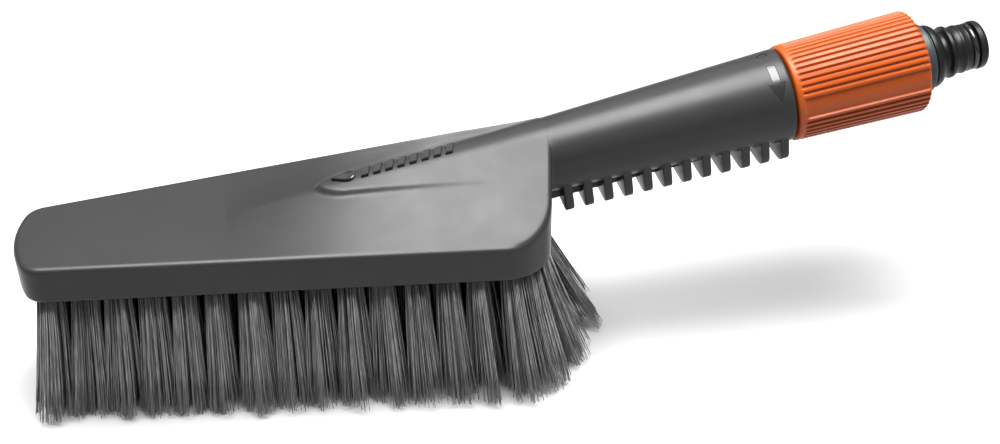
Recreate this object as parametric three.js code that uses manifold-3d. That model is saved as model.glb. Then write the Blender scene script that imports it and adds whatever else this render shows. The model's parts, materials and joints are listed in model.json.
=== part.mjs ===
// A hand-held wash brush that is fed with water through its handle. A quarter-turn regulator
// sits on the end of the handle, and a hose nipple takes a quick connector.
// Millimetres, +Z up. The brush stands on its bristle tips, with its origin on the floor
// under the middle of its bounding box, and +X points from the head to the hose nipple.
import * as THREE from 'three';
import { mergeVertices } from 'three/addons/utils/BufferGeometryUtils.js';
import Module from 'manifold-3d';

const wasm = await Module();
wasm.setup();

// ---------------------------------------------------------------- driving dimensions
const GAP = 0.3;
const deg = THREE.MathUtils.degToRad;

// The head. Its own frame has x = 0 at the rear wall and z = 0 on the rim of the top face.
const HEAD_LENGTH = 178;
const HEAD_REAR_HALF = 40.4;
const HEAD_FRONT_HALF = 18.3;
const HEAD_REAR_BOW = 7.5;
const HEAD_FRONT_BOW = 4;
const REAR_NOSE = 1.6;
const FRONT_NOSE = 2.2;
const REAR_BOW_RADIUS = 60;
const FRONT_BOW_RADIUS = 40;
const REAR_CORNER_RADIUS = 17;
const FRONT_CORNER_RADIUS = 8;
const WALL_HEIGHT = 13;
const EDGE_RADIUS = 1.8;
const SKIRT_THICKNESS = 2.2;
const ROOF_THICKNESS = 2.5;
const PLATE_LEDGE = 2.8;
const PLATE_THICKNESS = 4.7;

// The handle. Its own frame has its x axis on the centre line of the tube.
const HANDLE_PITCH = 9.3;
const HANDLE_LIFT = 9.5;
const TUBE_END = 84.6;
const TUBE_RADIUS_AT_HEAD = 12.7;
const TUBE_RADIUS_AT_END = 16.3;
const DUCT_RADIUS = 7.5;
const DUCT_START = -56;
const SOCKET_START = 56;
const VALVE_RADIUS = 13;
const FIN_COUNT = 12;
const FIN_PITCH = 7;
const FIRST_FIN = 4;
const FIN_THICKNESS = 3.1;
const FIN_DEPTH = 20.6;

// The regulator and the nipple, all placed along the handle's x axis.
const KNOB_START = 85.2;
const KNOB_END = 132.5;
const KNOB_START_RADIUS = 16.9;
const KNOB_END_RADIUS = 18;
const RIB_PITCH = 7.5;
const RIB_HEIGHT = 0.8;
const PLAIN_RIBS = 3;
const BORE_RADIUS = 9.5;
const SEAT_START = 84;
const SEAT_THICKNESS = 3;
const ROTOR_START = 87.4;
const ROTOR_END = 122;
const PIN_STATION = 104;
const PIN_RADIUS = 2;
const PIN_REST_ANGLE = -45;
const KNOB_TRAVEL = 90;
const NECK_RADIUS = 11;
const NECK_START = 128.6;
const NECK_END = 137.5;
const NIPPLE_BORE = 4.5;
const NIPPLE_END = 158;

// The bristles.
const BRISTLE_LENGTH = 47;
const ROW_COUNT = 6;
const TUFTS_PER_ROW = 16;
const TUFT_RADIUS = 1.6;
const TUFT_SIDES = 6;
const SLOT_DEPTH = 2.6;
const OUTLET_RADIUS = 1.1;
const PLATE_MARGIN = 5.4;
const FLOOR = -(WALL_HEIGHT + BRISTLE_LENGTH);

// ---------------------------------------------------------------- materials
const finish = (color, roughness) =>
  new THREE.MeshStandardMaterial({ color, roughness, metalness: 0 });
const GREY_PLASTIC = finish(0x5c5e5f, 0.5);
const ORANGE_PLASTIC = finish(0xc8460a, 0.42);
const BLACK_PLASTIC = finish(0x1c1c1c, 0.38);
const LIGHT_GREY_PLASTIC = finish(0x7f8a8c, 0.45);
const WHITE_PLASTIC = finish(0xd8d8d2, 0.4);
const BLACK_RUBBER = finish(0x101010, 0.25);
const STEEL = finish(0xa8a8a8, 0.3);
const BRISTLE = finish(0x77787a, 0.6);

// ---------------------------------------------------------------- solids and booleans
function signedVolume(corners, triangles) {
  let volume = 0;
  const a = new THREE.Vector3();
  const b = new THREE.Vector3();
  const c = new THREE.Vector3();
  for (let i = 0; i < triangles.length; i += 3) {
    a.fromArray(corners, 3 * triangles[i]);
    b.fromArray(corners, 3 * triangles[i + 1]);
    c.fromArray(corners, 3 * triangles[i + 2]);
    volume += a.dot(b.cross(c));
  }
  return volume;
}

// Turns a closed three.js geometry into a solid, with its faces pointing outwards.
function solid(geometry) {
  const bare = new THREE.BufferGeometry();
  bare.setAttribute('position', geometry.getAttribute('position').clone());
  if (geometry.index) bare.setIndex(geometry.index.clone());
  const merged = mergeVertices(bare, 1e-4);
  const corners = merged.getAttribute('position').array;
  const triangles = [];
  for (let i = 0; i < merged.index.count; i += 3) {
    const [p, q, r] = [0, 1, 2].map((k) => merged.index.getX(i + k));
    if (p !== q && q !== r && r !== p) triangles.push(p, q, r);
  }
  if (signedVolume(corners, triangles) < 0) triangles.reverse();
  const vertProperties = Float32Array.from(corners);
  const triVerts = Uint32Array.from(triangles);
  return new wasm.Manifold(new wasm.Mesh({ numProp: 3, vertProperties, triVerts }));
}

const joined = (first, ...others) => others.reduce((sum, other) => sum.add(other), first);
const cut = (first, ...others) => others.reduce((rest, other) => rest.subtract(other), first);

function geometryOf(manifold) {
  const { vertProperties, triVerts } = manifold.getMesh();
  const geometry = new THREE.BufferGeometry();
  geometry.setAttribute('position', new THREE.BufferAttribute(vertProperties, 3));
  geometry.setIndex(new THREE.BufferAttribute(triVerts, 1));
  geometry.computeVertexNormals();
  return geometry;
}

// Cuts leave slivers much narrower than any real feature, so a part is simplified a little.
const SLIVER = 0.01;
function part(name, manifold, material) {
  const mesh = new THREE.Mesh(geometryOf(manifold.simplify(SLIVER)), material);
  mesh.name = name;
  return mesh;
}

// ---------------------------------------------------------------- basic shapes
const TURNED_SIDES = 30;
const OUTER_SIDES = 40;

// A skin through rings of equally many points, closed by a flat fan at each end.
function loft(rings) {
  const count = rings[0].length;
  const points = rings.flat();
  const index = [];
  for (let j = 0; j + 1 < rings.length; j += 1) {
    for (let i = 0; i < count; i += 1) {
      const here = j * count + i;
      const next = j * count + ((i + 1) % count);
      index.push(here, next, next + count, here, next + count, here + count);
    }
  }
  const cap = (ring, offset, flipped) => {
    const normal = new THREE.Vector3();
    ring.forEach((p, i) => normal.add(p.clone().cross(ring[(i + 1) % count])));
    if (normal.length() < 1e-6) return;
    const middle = new THREE.Vector3();
    ring.forEach((p) => middle.addScaledVector(p, 1 / count));
    const hub = points.push(middle) - 1;
    for (let i = 0; i < count; i += 1) {
      const here = offset + i;
      const next = offset + ((i + 1) % count);
      index.push(hub, flipped ? next : here, flipped ? here : next);
    }
  };
  cap(rings[0], 0, true);
  cap(rings[rings.length - 1], (rings.length - 1) * count, false);
  const geometry = new THREE.BufferGeometry().setFromPoints(points);
  geometry.setIndex(index);
  return solid(geometry);
}

// A turned solid about the x axis. The profile is a list of [x, radius] and closes on itself.
function turned(profile, segments = TURNED_SIDES) {
  const points = [...profile, profile[0]].map(([x, radius]) => new THREE.Vector2(radius, x));
  return solid(new THREE.LatheGeometry(points, segments).rotateZ(-Math.PI / 2));
}

const pipe = (start, end, outer, inner) =>
  turned([[start, inner], [start, outer], [end, outer], [end, inner]]);

function rod(start, end, radius, segments = TURNED_SIDES) {
  const geometry = new THREE.CylinderGeometry(radius, radius, end - start, segments);
  return solid(geometry.rotateZ(-Math.PI / 2).translate((start + end) / 2, 0, 0));
}

// An O-ring about the x axis.
function oRing(station, radius, wire) {
  const geometry = new THREE.TorusGeometry(radius, wire, 6, 24);
  return solid(geometry.rotateY(Math.PI / 2).translate(station, 0, 0));
}

// A flat shape drawn in the y-z plane and extruded along x.
function extrudedAlongX(shape, start, length, curveSegments = 8) {
  const geometry = new THREE.ExtrudeGeometry(shape, {
    depth: length,
    bevelEnabled: false,
    curveSegments,
  });
  const axes = new THREE.Matrix4().makeBasis(
    new THREE.Vector3(0, 1, 0),
    new THREE.Vector3(0, 0, 1),
    new THREE.Vector3(1, 0, 0),
  );
  return solid(geometry.applyMatrix4(axes).translate(start, 0, 0));
}

// A sector of a ring about the x axis, from one angle to another (degrees, from +Y towards +Z).
function sector(start, length, inner, outer, fromAngle, toAngle) {
  const shape = new THREE.Shape();
  shape.absarc(0, 0, outer, deg(fromAngle), deg(toAngle), false);
  shape.absarc(0, 0, inner, deg(toAngle), deg(fromAngle), true);
  return extrudedAlongX(shape, start, length, 10);
}

// ---------------------------------------------------------------- the head's outline and top
// The corners of the outline before they are rounded, each with its radius and its arc steps.
const FRONT_CORNER_X = HEAD_FRONT_BOW - HEAD_LENGTH;
const HEAD_CORNERS = [
  { x: REAR_NOSE, y: 0, radius: REAR_BOW_RADIUS, arc: 4 },
  { x: -HEAD_REAR_BOW, y: HEAD_REAR_HALF, radius: REAR_CORNER_RADIUS, arc: 6 },
  { x: FRONT_CORNER_X, y: HEAD_FRONT_HALF, radius: FRONT_CORNER_RADIUS, arc: 4 },
  { x: -HEAD_LENGTH - FRONT_NOSE, y: 0, radius: FRONT_BOW_RADIUS, arc: 4 },
  { x: FRONT_CORNER_X, y: -HEAD_FRONT_HALF, radius: FRONT_CORNER_RADIUS, arc: 4 },
  { x: -HEAD_REAR_BOW, y: -HEAD_REAR_HALF, radius: REAR_CORNER_RADIUS, arc: 6 },
];
const LONG_SIDE = 60;
const LONG_SIDE_STEPS = 11;

// The rounded trapezoid seen from above, moved inwards by an inset: a list of Vector2.
function headOutline(inset) {
  const count = HEAD_CORNERS.length;
  const corner = (i) => {
    const { x, y } = HEAD_CORNERS[(i + count) % count];
    return new THREE.Vector2(x, y);
  };
  const points = [];
  HEAD_CORNERS.forEach(({ radius, arc }, i) => {
    const before = corner(i).sub(corner(i - 1)).normalize();
    const after = corner(i + 1).sub(corner(i)).normalize();
    const inwardBefore = new THREE.Vector2(-before.y, before.x);
    const inwardAfter = new THREE.Vector2(-after.y, after.x);
    const bisector = inwardBefore.clone().add(inwardAfter);
    bisector.multiplyScalar(1 / (1 + inwardBefore.dot(inwardAfter)));
    const centre = corner(i).addScaledVector(bisector, radius);
    const startAngle = inwardBefore.clone().negate().angle();
    const turn = Math.atan2(before.cross(after), before.dot(after));
    for (let k = 0; k <= arc; k += 1) {
      const angle = startAngle + (turn * k) / arc;
      const reach = new THREE.Vector2(Math.cos(angle), Math.sin(angle));
      points.push(centre.clone().addScaledVector(reach, radius - inset));
    }
  });
  return points.flatMap((point, i) => {
    const next = points[(i + 1) % points.length];
    if (point.distanceTo(next) < LONG_SIDE) return [point];
    return Array.from({ length: LONG_SIDE_STEPS }, (_, k) =>
      point.clone().lerp(next, k / LONG_SIDE_STEPS));
  });
}

function headRing(inset, z) {
  return headOutline(inset).map((p) => new THREE.Vector3(p.x, p.y, z));
}

const headPrism = (inset, low, high) => loft([headRing(inset, low), headRing(inset, high)]);

const tubeRadius = (x) =>
  TUBE_RADIUS_AT_HEAD + ((TUBE_RADIUS_AT_END - TUBE_RADIUS_AT_HEAD) * x) / TUBE_END;

// Half the width of the top face where it meets the rounded edge, with square rear corners.
const SIDE_TAPER = (HEAD_REAR_HALF - HEAD_FRONT_HALF) / (-HEAD_REAR_BOW - FRONT_CORNER_X);
const halfWidth = (x) => HEAD_REAR_HALF + SIDE_TAPER * (x + HEAD_REAR_BOW);
const SLOPE_INSET = 1.5;

// Height of the top face. It runs straight from each side up to the handle's tube, like a sheet
// drawn tight over it, and it is flat ahead of the point where the tube dips under the face.
const SPINE_COVER = 0.35;
function topHeight(x, y) {
  const radius = tubeRadius(x) / Math.cos(deg(HANDLE_PITCH)) + SPINE_COVER;
  const axis = HANDLE_LIFT + x * Math.tan(deg(HANDLE_PITCH));
  if (axis + radius <= 0) return 0;
  const foot = halfWidth(x) - SLOPE_INSET;
  const slope = Math.atan2(axis, foot) + Math.asin(radius / Math.hypot(axis, foot));
  const side = Math.abs(y);
  if (side < radius * Math.sin(slope)) return axis + Math.sqrt(radius * radius - side * side);
  return (foot - side) * Math.tan(slope);
}

// ---------------------------------------------------------------- brush body
const SPINE_FRONT = 25 - HEAD_LENGTH;
const SPINE_REAR = -20;
const TOP_RINGS = [0.4, 0.62, 0.74, 0.82, 0.9, 1];
const EDGE_STEPS = 2;
const FOOT_INSET = 0.3;

function headShell() {
  const rings = [headRing(FOOT_INSET, -WALL_HEIGHT)];
  for (let k = 0; k <= EDGE_STEPS; k += 1) {
    const angle = (Math.PI / 2) * (k / EDGE_STEPS);
    const inset = EDGE_RADIUS * (1 - Math.cos(angle));
    const drop = EDGE_RADIUS * (1 - Math.sin(angle));
    rings.push(headOutline(inset).map((p) => {
      return new THREE.Vector3(p.x, p.y, topHeight(p.x, p.y) - drop);
    }));
  }
  const rim = headOutline(EDGE_RADIUS);
  for (const share of TOP_RINGS) {
    rings.push(rim.map((p) => {
      const middle = new THREE.Vector2(THREE.MathUtils.clamp(p.x, SPINE_FRONT, SPINE_REAR), 0);
      const q = p.clone().lerp(middle, share);
      return new THREE.Vector3(q.x, q.y, topHeight(q.x, q.y));
    }));
  }
  return loft(rings);
}

// One fin of the finger grip. It stands across the underside of the tube, wider where the tube
// is wider, and its toe is rounded.
const FIN = { root: -5, share: 0.8, taper: 0.8, round: 5.5 };
function gripFin(station) {
  const half = FIN.share * tubeRadius(station);
  const side = half - FIN.taper;
  const flat = side - FIN.round;
  const shape = new THREE.Shape();
  shape.moveTo(-half, FIN.root);
  shape.lineTo(-side, FIN.round - FIN_DEPTH);
  shape.quadraticCurveTo(-side, -FIN_DEPTH, -flat, -FIN_DEPTH);
  shape.lineTo(flat, -FIN_DEPTH);
  shape.quadraticCurveTo(side, -FIN_DEPTH, side, FIN.round - FIN_DEPTH);
  shape.lineTo(half, FIN.root);
  shape.closePath();
  return extrudedAlongX(shape, station - FIN_THICKNESS / 2, FIN_THICKNESS, 4);
}

// The low web that runs from the head through all the grip fins.
const WEB = { start: -6, half: 2.4, top: 9, depth: 17.4 };
function gripWeb() {
  const shape = new THREE.Shape();
  shape.moveTo(-WEB.half, -WEB.top);
  shape.lineTo(-WEB.half, -WEB.depth);
  shape.lineTo(WEB.half, -WEB.depth);
  shape.lineTo(WEB.half, -WEB.top);
  shape.closePath();
  const lastFin = FIRST_FIN + (FIN_COUNT - 1) * FIN_PITCH;
  return extrudedAlongX(shape, WEB.start, lastFin - WEB.start);
}

// The shallow arrow round the tube that shows which way to turn the knob.
const ARROW = { station: 79.7, tail: 73, neck: 48, tip: 25, shaft: 1.5, head: 3.1, depth: 0.5 };
function arrowRecess() {
  const slice = (angle, halfWidth) => {
    const up = new THREE.Vector3(0, -Math.cos(deg(angle)), Math.sin(deg(angle)));
    const corner = (x, reach) =>
      up.clone().multiplyScalar(reach).setX(ARROW.station + x);
    const floor = tubeRadius(ARROW.station) - ARROW.depth;
    const clear = tubeRadius(ARROW.station) + 1;
    return [
      corner(-halfWidth, floor),
      corner(halfWidth, floor),
      corner(halfWidth, clear),
      corner(-halfWidth, clear),
    ];
  };
  const bent = (from, to, fromHalf, toHalf) => {
    const steps = 4;
    return loft(Array.from({ length: steps + 1 }, (_, k) => {
      const t = k / steps;
      return slice(
        THREE.MathUtils.lerp(from, to, t),
        THREE.MathUtils.lerp(fromHalf, toHalf, t),
      );
    }));
  };
  const shaft = bent(ARROW.tail, ARROW.neck - 1, ARROW.shaft, ARROW.shaft);
  const head = bent(ARROW.neck, ARROW.tip, ARROW.head, 0.2);
  return joined(shaft, head);
}

// The tube starts inside the head, and its free edge is chamfered.
const TUBE_START = -8;
function handleSolids() {
  const tube = turned([
    [TUBE_START, 0],
    [TUBE_START, tubeRadius(TUBE_START)],
    [TUBE_END - 1, tubeRadius(TUBE_END - 1)],
    [TUBE_END, tubeRadius(TUBE_END) - 0.6],
    [TUBE_END, 0],
  ], OUTER_SIDES);
  const fins = Array.from({ length: FIN_COUNT }, (_, i) => gripFin(FIRST_FIN + i * FIN_PITCH));
  const outside = joined(tube, gripWeb(), ...fins);
  const inside = joined(
    rod(DUCT_START, SOCKET_START + 1, DUCT_RADIUS),
    rod(SOCKET_START, TUBE_END + 1, VALVE_RADIUS + GAP),
  );
  return { outside, inside: joined(inside, arrowRecess()) };
}

// Moves a solid from the handle's frame into the head's frame.
function tilted(manifold) {
  const geometry = geometryOf(manifold);
  geometry.rotateY(-deg(HANDLE_PITCH)).translate(0, 0, HANDLE_LIFT);
  return solid(geometry);
}

function brushBody() {
  const handle = handleSolids();
  const ledge = PLATE_THICKNESS + GAP - WALL_HEIGHT;
  const chamberInset = SKIRT_THICKNESS + PLATE_LEDGE;
  const hollow = loft([
    headRing(SKIRT_THICKNESS, -WALL_HEIGHT - 1),
    headRing(SKIRT_THICKNESS, ledge),
    headRing(chamberInset, ledge),
    headRing(chamberInset, -ROOF_THICKNESS),
  ]);
  const outside = joined(headShell(), tilted(handle.outside));
  return part('brush_body', cut(outside, hollow, tilted(handle.inside)), GREY_PLASTIC);
}

// ---------------------------------------------------------------- bristles and their plate
const FIRST_TUFT = 10.5 - HEAD_LENGTH;
const LAST_TUFT = -9;
const REAR_FLARE = 7;
const MIDDLE_FLARE = 17;
const FRONT_FLARE = 1;
const SIDE_FLARE = 6;

// The columns that a row fills. The two outer rows leave out the first and the last one, where
// the corners of the head curve in.
function columnsOf(row) {
  const outer = row === 0 || row === ROW_COUNT - 1;
  const columns = Array.from({ length: TUFTS_PER_ROW }, (_, column) => column);
  return outer ? columns.slice(1, -1) : columns;
}

// The rows fan out with the head, evenly spaced across it: side runs from -1 to 1.
const sideOf = (row) => (2 * row) / (ROW_COUNT - 1) - 1;

function rowY(row, x) {
  return sideOf(row) * (halfWidth(x) - PLATE_MARGIN);
}

function tuftRoot(row, column) {
  const x = THREE.MathUtils.lerp(FIRST_TUFT, LAST_TUFT, column / (TUFTS_PER_ROW - 1));
  return { x, y: rowY(row, x) };
}

// The tufts lean outwards, and much more over the rear end, most of all in the middle rows.
function tuftTip(row, column) {
  const { x, y } = tuftRoot(row, column);
  const along = column / (TUFTS_PER_ROW - 1);
  const side = sideOf(row);
  const rear = REAR_FLARE + MIDDLE_FLARE * (1 - Math.abs(side));
  const lean = rear * along ** 5 - FRONT_FLARE * (1 - along) ** 3;
  return { x: x + lean, y: y + side * SIDE_FLARE };
}

function tuftSection(centre, radiusX, radiusY, z) {
  return Array.from({ length: TUFT_SIDES }, (_, k) => {
    const angle = (2 * Math.PI * k) / TUFT_SIDES;
    const x = centre.x + radiusX * Math.cos(angle);
    return new THREE.Vector3(x, centre.y + radiusY * Math.sin(angle), z);
  });
}

// A tuft is just wide enough at its tip to close up with its neighbours in the row.
const TUFT_OVERLAP = 0.58;
const ROW_CLEARANCE = 0.47;
const WIDEST_TUFT = 4.6;
function tuft(row, column) {
  const root = tuftRoot(row, column);
  const tip = tuftTip(row, column);
  const beside = columnsOf(row).filter((k) => Math.abs(k - column) === 1);
  const reachX = Math.max(...beside.map((k) => Math.abs(tuftTip(row, k).x - tip.x))) * TUFT_OVERLAP;
  const rowSpacing = (2 * Math.abs(tuftTip(0, column).y)) / (ROW_COUNT - 1);
  return loft([
    tuftSection(tip, reachX, Math.min(ROW_CLEARANCE * rowSpacing, WIDEST_TUFT), FLOOR),
    tuftSection(root, TUFT_RADIUS, TUFT_RADIUS, SLOT_DEPTH - GAP - WALL_HEIGHT),
  ]);
}

function bristleRow(row) {
  const tufts = columnsOf(row).map((column) => tuft(row, column));
  return part(`bristle_row_${row + 1}`, joined(...tufts), BRISTLE);
}

// The slot in the plate that holds the roots of one row.
const ROOT_CLEARANCE = 2.2;
function rootSlot(row) {
  const slotEnd = TUFT_RADIUS + ROOT_CLEARANCE;
  const slotHalf = TUFT_RADIUS + GAP;
  const columns = columnsOf(row);
  const ends = [
    tuftRoot(row, columns[0]).x - slotEnd,
    tuftRoot(row, columns[columns.length - 1]).x + slotEnd,
  ];
  return loft(ends.map((x) => {
    const y = rowY(row, x);
    return [
      new THREE.Vector3(x, y - slotHalf, -WALL_HEIGHT - 1),
      new THREE.Vector3(x, y + slotHalf, -WALL_HEIGHT - 1),
      new THREE.Vector3(x, y + slotHalf, SLOT_DEPTH - WALL_HEIGHT),
      new THREE.Vector3(x, y - slotHalf, SLOT_DEPTH - WALL_HEIGHT),
    ];
  }));
}

function bristlePlate() {
  const plateTop = PLATE_THICKNESS - WALL_HEIGHT;
  const plate = headPrism(SKIRT_THICKNESS + GAP, -WALL_HEIGHT, plateTop);
  const slots = Array.from({ length: ROW_COUNT }, (_, row) => rootSlot(row));
  const outlets = [];
  for (let column = 2; column + 1 < TUFTS_PER_ROW; column += 2) {
    const centre = { x: (tuftRoot(0, column).x + tuftRoot(0, column + 1).x) / 2, y: 0 };
    outlets.push(loft([
      tuftSection(centre, OUTLET_RADIUS, OUTLET_RADIUS, -WALL_HEIGHT - 1),
      tuftSection(centre, OUTLET_RADIUS, OUTLET_RADIUS, plateTop + 1),
    ]));
  }
  return part('bristle_plate', cut(plate, ...slots, ...outlets), GREY_PLASTIC);
}

// ---------------------------------------------------------------- regulator, fixed pieces
const RING_WIRE = 0.75;
const GROOVE_HALF = 1.1;

// A groove for an O-ring of wire RING_WIRE that nearly fills the space up to the radius.
const ringGroove = (station, radius) =>
  pipe(station - GROOVE_HALF, station + GROOVE_HALF, radius + 1, radius - 1.8);
const ringIn = (station, radius) => oRing(station, radius - RING_WIRE - 0.05, RING_WIRE);

const HANDLE_SEALS = [64, 72];
const NIPPLE_SEAL = 130;
const ROTOR_SEALS = [94, 114];
const WINDOW_MARGIN = 16;

function valveBody() {
  const body = turned([
    [SOCKET_START + 2, DUCT_RADIUS],
    [SOCKET_START + 2, VALVE_RADIUS - 0.8],
    [SOCKET_START + 3, VALVE_RADIUS],
    [NECK_START, VALVE_RADIUS],
    [NECK_START, NECK_RADIUS],
    [NECK_END, NECK_RADIUS],
    [NECK_END, BORE_RADIUS],
    [SEAT_START - GAP, BORE_RADIUS],
    [SEAT_START - GAP, DUCT_RADIUS],
  ]);
  const windowHalf = PIN_RADIUS + 0.5;
  const windows = [0, 180].map((turn) => sector(
    PIN_STATION - windowHalf,
    2 * windowHalf,
    BORE_RADIUS - 1,
    VALVE_RADIUS + 1,
    turn + PIN_REST_ANGLE - WINDOW_MARGIN,
    turn + PIN_REST_ANGLE + KNOB_TRAVEL + WINDOW_MARGIN,
  ));
  const grooves = HANDLE_SEALS.map((station) => ringGroove(station, VALVE_RADIUS));
  return part('valve_body', cut(body, ...windows, ...grooves), LIGHT_GREY_PLASTIC);
}

const PORT = { inner: 2, outer: 6, half: 40 };
const ports = (start, length, turn) =>
  [0, 180].map((side) => sector(
    start - 1,
    length + 2,
    PORT.inner,
    PORT.outer,
    side + turn - PORT.half,
    side + turn + PORT.half,
  ));

function seatDisc() {
  const disc = rod(SEAT_START, SEAT_START + SEAT_THICKNESS, BORE_RADIUS - GAP);
  return part('valve_seat_disc', cut(disc, ...ports(SEAT_START, SEAT_THICKNESS, 90)), WHITE_PLASTIC);
}

function retainingRing() {
  const start = KNOB_END + 0.5;
  const inner = NECK_RADIUS + GAP;
  return part('knob_retaining_ring', turned([
    [start, inner],
    [start, NECK_RADIUS + 2.4],
    [NECK_END - 1.6, NECK_RADIUS + 2],
    [NECK_END - 0.4, NECK_RADIUS + 1.1],
    [NECK_END - 0.4, inner],
  ]), LIGHT_GREY_PLASTIC);
}

// ---------------------------------------------------------------- hose nipple
const FLANGE = { radius: 11.2, length: 0.7 };
const FLARE_LENGTH = 3.6;
const WAIST_RADIUS = 7.3;
const COLLAR = { foot: 144.3, start: 144.8, end: 145.6, radius: 9.2, footRadius: 8.6 };
const LAND = { start: 146.7, radius: 8.35 };
const TIP_GROOVE = { start: 152, end: 155, radius: 6 };
const TIP = { radius: 8.55, round: 1.5 };
const TIP_RING = { radius: 7.3, wire: 1.05 };
const QUARTER_ROUND = [0, 30, 60, 90].map(deg);

function hoseNipple() {
  const spigotStart = ROTOR_END + 0.5;
  const spigotRadius = BORE_RADIUS - GAP;
  const seatFace = NECK_END + GAP;
  const flare = QUARTER_ROUND.map((angle) => [
    seatFace + FLANGE.length + FLARE_LENGTH * Math.sin(angle),
    THREE.MathUtils.lerp(FLANGE.radius, WAIST_RADIUS, 1 - Math.cos(angle)),
  ]);
  const tipRound = QUARTER_ROUND.map((angle) => [
    NIPPLE_END - TIP.round * (1 - Math.sin(angle)),
    TIP.radius - TIP.round * (1 - Math.cos(angle)),
  ]);
  const profile = [
    [spigotStart, NIPPLE_BORE],
    [spigotStart, spigotRadius],
    [seatFace, spigotRadius],
    [seatFace, FLANGE.radius],
    ...flare,
    [seatFace + FLANGE.length + FLARE_LENGTH + 1, WAIST_RADIUS],
    [COLLAR.foot, COLLAR.footRadius],
    [COLLAR.start, COLLAR.radius],
    [COLLAR.end, COLLAR.radius],
    [LAND.start, LAND.radius],
    [TIP_GROOVE.start, LAND.radius],
    [TIP_GROOVE.start, TIP_GROOVE.radius],
    [TIP_GROOVE.end, TIP_GROOVE.radius],
    [TIP_GROOVE.end, TIP.radius],
    ...tipRound,
    [NIPPLE_END, NIPPLE_BORE],
  ];
  const nipple = cut(turned(profile), ringGroove(NIPPLE_SEAL, spigotRadius));
  return part('hose_nipple', nipple, BLACK_PLASTIC);
}

// ---------------------------------------------------------------- regulator, turning pieces
// One cross-section of the ribbed sleeve: ribs all round except for a plain stretch.
const PLAIN_MIDDLE = 8;
function ribbedRing(x, radius) {
  const count = 360 / RIB_PITCH;
  const start = PLAIN_MIDDLE + (PLAIN_RIBS * RIB_PITCH) / 2;
  const points = [];
  const add = (angle, reach) => points.push(new THREE.Vector3(
    x,
    -reach * Math.cos(deg(angle)),
    reach * Math.sin(deg(angle)),
  ));
  for (let i = 0; i < count; i += 1) {
    const angle = start + i * RIB_PITCH;
    const raised = i < count - PLAIN_RIBS ? RIB_HEIGHT : 0;
    add(angle, radius);
    add(angle + 0.4 * RIB_PITCH, radius + raised);
    add(angle + 0.75 * RIB_PITCH, radius + raised);
  }
  return points;
}

// Two keyways inside the knob take the drive pins, and let it slide over them from the front.
const LIP_LENGTH = 2.6;
const KNOB_CLEARANCE = 0.4;
const KEYWAY_END = PIN_STATION + 2.5;
const KEYWAY_REACH = 15;
const KEYWAY_DEPTH = 3;
function regulatorKnob() {
  const ribStart = KNOB_START + LIP_LENGTH;
  const sleeve = loft([
    ribbedRing(ribStart, KNOB_START_RADIUS - RIB_HEIGHT),
    ribbedRing(KNOB_END, KNOB_END_RADIUS - RIB_HEIGHT),
  ]);
  const lip = turned([
    [KNOB_START, 0],
    [KNOB_START, KNOB_START_RADIUS - 0.9],
    [KNOB_START + 1, KNOB_START_RADIUS],
    [ribStart - 0.4, KNOB_START_RADIUS],
    [ribStart + 0.3, KNOB_START_RADIUS - RIB_HEIGHT],
    [ribStart + 1, 0],
  ]);
  const bore = rod(KNOB_START - 1, NECK_START + KNOB_CLEARANCE, VALVE_RADIUS + KNOB_CLEARANCE);
  const throat = rod(NECK_START, KNOB_END + 1, NECK_RADIUS + KNOB_CLEARANCE);
  const keyways = [0, 180].map((turn) => {
    const length = KEYWAY_END - KNOB_START + 1;
    const keyway = new THREE.BoxGeometry(length, KEYWAY_DEPTH, 2 * (PIN_RADIUS + GAP));
    keyway.translate(KEYWAY_END - length / 2, KEYWAY_REACH - KEYWAY_DEPTH / 2, 0);
    return solid(keyway.rotateX(deg(turn + PIN_REST_ANGLE)));
  });
  return part('regulator_knob', cut(joined(sleeve, lip), bore, throat, ...keyways), ORANGE_PLASTIC);
}

const DISC_THICKNESS = 3;
function valveRotor() {
  const outer = BORE_RADIUS - GAP;
  const body = cut(
    rod(ROTOR_START, ROTOR_END, outer),
    rod(ROTOR_START + DISC_THICKNESS, ROTOR_END + 1, PORT.outer),
    ...ports(ROTOR_START, DISC_THICKNESS, 0),
    ...ROTOR_SEALS.map((station) => ringGroove(station, outer)),
  );
  const pinHole = new THREE.CylinderGeometry(PIN_RADIUS + GAP, PIN_RADIUS + GAP, 30, 16);
  const hole = solid(pinHole.rotateX(deg(PIN_REST_ANGLE)).translate(PIN_STATION, 0, 0));
  return part('valve_rotor', body.subtract(hole), WHITE_PLASTIC);
}

// A drive pin reaches from the rotor through its window into a keyway of the knob.
const PIN_INNER = 6.6;
const PIN_OUTER = 14.6;
function drivePin(number, turn) {
  const pin = new THREE.CylinderGeometry(PIN_RADIUS, PIN_RADIUS, PIN_OUTER - PIN_INNER, 16);
  pin.translate(0, (PIN_INNER + PIN_OUTER) / 2, 0).rotateX(deg(turn + PIN_REST_ANGLE));
  return part(`drive_pin_${number}`, solid(pin.translate(PIN_STATION, 0, 0)), STEEL);
}

// ---------------------------------------------------------------- assembly
const head = new THREE.Group();
head.add(brushBody());
head.add(bristlePlate());
for (let row = 0; row < ROW_COUNT; row += 1) head.add(bristleRow(row));

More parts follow.
